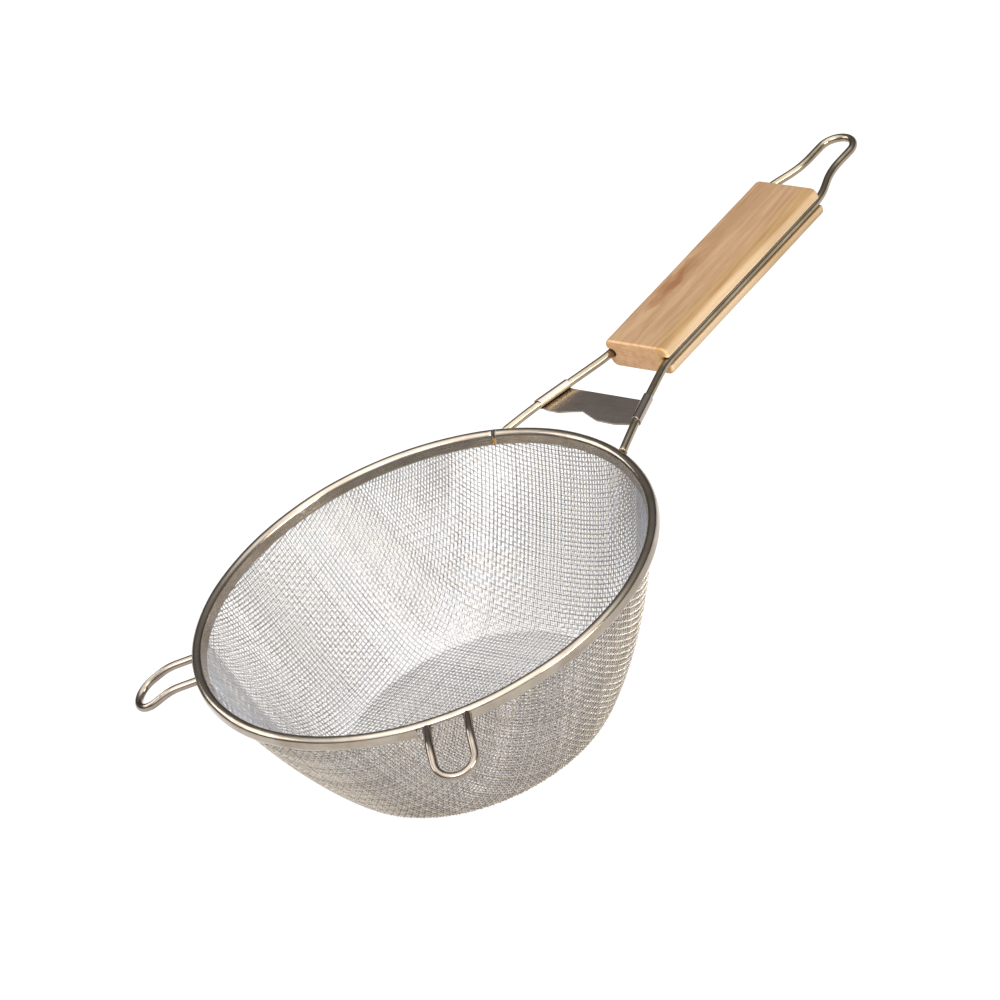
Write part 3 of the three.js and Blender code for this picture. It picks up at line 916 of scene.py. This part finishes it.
def grip_section(inset):
    """Half of the grip's section, from the top's middle to the underside's, drawn in by inset."""
    edge = 0.4 * MM
    side = GRIP_HALF_WIDTH - edge - inset
    lip = GRIP_SLOT + edge + inset
    straight = GRIP_HALF_THICKNESS - GRIP_CORNER
    flat = GRIP_HALF_WIDTH - GRIP_CORNER
    points = []

    def arc(x, y, radius, start, end, steps):
        for a in np.linspace(start, end, steps + 1):
            points.append((x + radius * math.cos(a), y + radius * math.sin(a)))

    for x in np.linspace(0, flat, 8)[:-1]:
        points.append((x, GRIP_HALF_THICKNESS - inset))
    arc(flat, straight, GRIP_CORNER - inset, math.pi / 2, 0, 8)
    points.append((GRIP_HALF_WIDTH - inset, lip))
    arc(side, lip, edge, 0, -math.pi / 2, 3)
    arc(LEG_END[1], 0, GRIP_SLOT + inset, math.pi / 2, 3 * math.pi / 2, 14)
    arc(side, -lip, edge, math.pi / 2, 0, 3)
    arc(flat, -straight, GRIP_CORNER - inset, 0, -math.pi / 2, 8)
    for x in np.linspace(flat, 0, 8)[1:]:
        points.append((x, -GRIP_HALF_THICKNESS + inset))
    return np.array(points)


def grip(mat):
    """The grip: its section run along the handle, with rounded ends and a slightly worn side."""
    bevel = 0.7 * MM
    corner = 1.6 * MM
    end = GRIP_START + GRIP_LENGTH
    # (distance from the end face, inset of the section)
    quarter = np.linspace(0, math.pi / 2, 6)
    ends = sorted((bevel - bevel * math.cos(a), bevel - bevel * math.sin(a)) for a in quarter)
    ends += [(d, 0.0) for d in (1.2 * MM, 1.8 * MM, 3 * MM)]
    rows = [(GRIP_START + d, i, d) for d, i in ends]
    rows += [(x, 0.0, 10 * MM) for x in np.linspace(GRIP_START + 6 * MM, end - 6 * MM, 34)]
    rows += [(end - d, i, d) for d, i in ends[::-1]]
    verts = []
    for x, inset, from_end in rows:
        half = grip_section(inset)
        full = np.concatenate([half, np.stack([-half[::-1, 0], half[::-1, 1]], 1)[1:-1]])
        pinch = 1.0
        if from_end < corner:
            pinch = 1 - (corner - math.sqrt(corner ** 2 - (corner - from_end) ** 2)) / GRIP_HALF_WIDTH * 0.8
        wear = 1 + 0.003 * math.sin(x / (9 * MM)) + 0.002 * math.sin(x / (3.7 * MM))
        verts.append(np.stack([np.full(len(full), x), full[:, 0] * pinch * wear, full[:, 1]], 1))
    count = len(verts[0])
    index = np.arange(len(rows) * count).reshape(len(rows), count)
    a = index[:-1]
    b = index[1:]
    quads = np.stack([a, b, np.roll(b, -1, 1), np.roll(a, -1, 1)], -1).reshape(-1, 4)
    obj = mesh_object("grip_block", handle_frame(np.concatenate(verts)), quads)
    edit = bmesh.new()
    edit.from_mesh(obj.data)
    bmesh.ops.holes_fill(edit, edges=[e for e in edit.edges if e.is_boundary])
    bmesh.ops.triangulate(edit, faces=[f for f in edit.faces if len(f.verts) > 4])
    bmesh.ops.recalc_face_normals(edit, faces=edit.faces)
    edit.to_mesh(obj.data)
    edit.free()
    obj.data.materials.append(mat)
    piece(obj, "wood_grip")


def brace(mat):
    """One sheet: a wavy plate under the legs whose two sides roll up round them into open eyes."""
    radius = WIRE + SLEEVE_CLEARANCE + BRACE_SHEET / 2
    edge_across, edge_out = zip(*BRACE_EDGE)
    rows = 22
    wraps = np.linspace(SLEEVE_WRAP, 0, 26)[:-1]
    columns = [("right", a) for a in wraps]
    columns += [("plate", t) for t in np.linspace(-1, 1, 61)]
    columns += [("left", a) for a in wraps[::-1]]
    verts = []
    for kind, value in columns:
        for k in range(rows):
            v = k / (rows - 1)
            if kind == "plate":
                near = SLEEVE_START + np.interp(value, edge_across, edge_out) * MM
                blend = np.clip((1 - abs(value)) / 0.1, 0, 1)
                near = SLEEVE_START * (1 - blend) + near * blend
                far = SLEEVE_END - 0.4 * MM * blend
                x = near + (far - near) * v
                verts.append((x, value * leg_y(x), -radius))
            else:
                sign = 1 if kind == "left" else -1
                x = SLEEVE_START + (SLEEVE_END - SLEEVE_START) * v
                verts.append((x, sign * (leg_y(x) + radius * math.sin(value)), -radius * math.cos(value)))
    index = np.arange(len(columns) * rows).reshape(len(columns), rows)
    quads = np.stack([index[:-1, :-1], index[1:, :-1], index[1:, 1:], index[:-1, 1:]], -1).reshape(-1, 4)
    obj = mesh_object("brace_sheet", handle_frame(np.array(verts)), quads)
    smooth = obj.modifiers.new("even", "SMOOTH")
    smooth.factor = 0.3
    smooth.iterations = 2
    thicken(obj, BRACE_SHEET, 0.12 * MM, mat)
    piece(obj, "handle_brace")


def weld(node, size, mat, seed):
    """A lumpy bead in the place of one CAD weld, moved with the settled rim."""
    low, high = (Vector(c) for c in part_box(node))
    centre = (low + high) / 2
    azimuth = math.atan2(centre.y, centre.x)
    centre += Vector((math.cos(azimuth), math.sin(azimuth), 0)) * rim_reach(azimuth)
    edit = bmesh.new()
    bmesh.ops.create_icosphere(edit, subdivisions=4, radius=1.0)
    random = np.random.default_rng(seed)
    waves = random.normal(0, 3.2, (5, 3))
    phases = random.uniform(0, 6, 5)
    turn = Matrix.Rotation(azimuth, 3, "Z")
    for v in edit.verts:
        lump = sum(math.sin(v.co.dot(Vector(w)) + p) for w, p in zip(waves, phases)) / 5
        shaped = v.co * (1 + 0.22 * lump)
        v.co = centre + turn @ Vector((shaped.x * size[0], shaped.y * size[1], shaped.z * size[2])) * MM
    mesh = bpy.data.meshes.new(f"{node}_bead")
    edit.to_mesh(mesh)
    edit.free()
    for p in mesh.polygons:
        p.use_smooth = True
    obj = bpy.data.objects.new(f"{node}_bead", mesh)
    scene.collection.objects.link(obj)
    obj.data.materials.append(mat)
    piece(obj, node)


# ---------------------------------------------------------------- the object

outer_metals = cloth_metals("outer_cloth_wire", [
    ((0.42, 0.372, 0.318), 0.12), ((0.52, 0.465, 0.4), 0.15), ((0.62, 0.56, 0.49), 0.1)])
inner_metals = cloth_metals("inner_cloth_wire", [
    ((0.465, 0.47, 0.505), 0.28), ((0.515, 0.52, 0.555), 0.32), ((0.565, 0.57, 0.605), 0.24)])
outer_bowl = Bowl(2 * OUTER_WIRE)
inner_bowl = Bowl(4 * OUTER_WIRE + LAYER_GAP + 2 * INNER_WIRE)
woven("outer_cloth", outer_bowl, OUTER_WIRE, OUTER_TWIST, 11, outer_metals, "outer_mesh_bowl")
woven("inner_cloth", inner_bowl, INNER_WIRE, 0.0, 23, inner_metals, "inner_mesh_bowl")

bright_wire = plated_wire("handle_plated_wire", (0.34, 0.288, 0.21), (0.25, 0.208, 0.15), 0.1)
hook_wire = plated_wire("hook_plated_wire", (0.33, 0.28, 0.235), (0.24, 0.2, 0.165), 0.12)
plain_wire = plated_wire("hoop_plain_wire", (0.35, 0.32, 0.28), (0.26, 0.23, 0.2), 0.35)
rim_band(rim_metal())
hoop(plain_wire)
handle_wire(bright_wire)
rest_hook("rest_hook_left", 1, hook_wire)
rest_hook("rest_hook_right", -1, hook_wire)
grip(beech())
brace(brace_metal())
bead = weld_metal()
for number, side in enumerate(("left", "right")):
    for step, place in enumerate(("front", "rear")):
        weld(f"weld_hook_{side}_{place}", HOOK_BEAD, bead, 40 + 2 * number + step)
    weld(f"weld_leg_{side}", LEG_BEAD, bead, 50 + number)


# ---------------------------------------------------------------- floor, light and camera

def floor():
    """A pale floor that glows a little, so that it stays white in the picture."""
    half = 30.0
    verts = [(-half, -half, 0), (half, -half, 0), (half, half, 0), (-half, half, 0)]
    obj = mesh_object("floor", verts, [[0, 1, 2, 3]], smooth=False)
    obj.location.z = -0.05 * MM
    mat, _, shader = new_material("floor_pale")
    shader.inputs["Base Color"].default_value = (0.17, 0.168, 0.165, 1)
    shader.inputs["Roughness"].default_value = 0.9
    shader.inputs["Specular IOR Level"].default_value = 0.1
    shader.inputs["Emission Color"].default_value = (1, 1, 1, 1)
    shader.inputs["Emission Strength"].default_value = 0.84
    obj.data.materials.append(mat)


def area_light(name, place, target, size, power, colour):
    data = bpy.data.lights.new(name, "AREA")
    data.shape = "RECTANGLE"
    data.size = size[0]
    data.size_y = size[1]
    data.energy = power
    data.color = colour
    obj = bpy.data.objects.new(name, data)
    obj.location = place
    obj.rotation_euler = (Vector(target) - Vector(place)).to_track_quat("-Z", "Y").to_euler()
    scene.collection.objects.link(obj)


def camera():
    """The camera at the photograph's angle: far off, with a long lens, and rolled."""
    level = math.cos(CAMERA_ELEVATION)
    away_x = level * math.cos(CAMERA_AZIMUTH)
    away_y = level * math.sin(CAMERA_AZIMUTH)
    away = Vector((away_x, away_y, math.sin(CAMERA_ELEVATION)))
    right = Matrix.Rotation(CAMERA_ROLL, 3, away) @ Vector((0, 0, 1)).cross(away).normalized()
    up = away.cross(right)
    data = bpy.data.cameras.new("camera")
    data.sensor_width = 36
    data.lens = CAMERA_LENS
    data.clip_end = 100
    obj = bpy.data.objects.new("camera", data)
    turn = Matrix((right, up, away)).transposed().to_4x4()
    obj.matrix_world = Matrix.Translation(CAMERA_TARGET + away * CAMERA_DISTANCE) @ turn
    scene.collection.objects.link(obj)
    scene.camera = obj


def surroundings():
    """A dim room with one broad soft source overhead."""
    world = bpy.data.worlds.new("studio")
    world.use_nodes = True
    tree = world.node_tree
    back = tree.nodes["Background"]
    toward = add_node(tree, "ShaderNodeVectorMath", operation="DOT_PRODUCT")
    toward.inputs[1].default_value = SOFT_SOURCE
    tree.links.new(tree.nodes.new("ShaderNodeTexCoord").outputs["Generated"], toward.inputs[0])
    light = ramp(tree, toward.outputs["Value"], [
        (0.0, grey(0.03)),
        (0.25, grey(0.09)),
        (0.52, grey(0.14)),
        (0.7, grey(0.55)),
        (0.86, (1, 0.995, 0.985)),
    ])
    tree.links.new(light, back.inputs["Color"])
    back.inputs["Strength"].default_value = 2.9
    scene.world = world


floor()
surroundings()
area_light("front", (-1.6, -1.2, 2.25), (0.05, 0, 0.05), (1.7, 1.1), 25, (1, 0.99, 0.98))
area_light("left", (-0.75, 2.31, 1.76), (0, 0, 0.05), (2.5, 1.3), 32, (1, 0.99, 1))
area_light("side", (0.35, -1.95, 0.8), (0.05, 0, 0.05), (1.0, 0.8), 22, (1, 0.98, 0.9))
camera()
scene.view_settings.view_transform = "Standard"
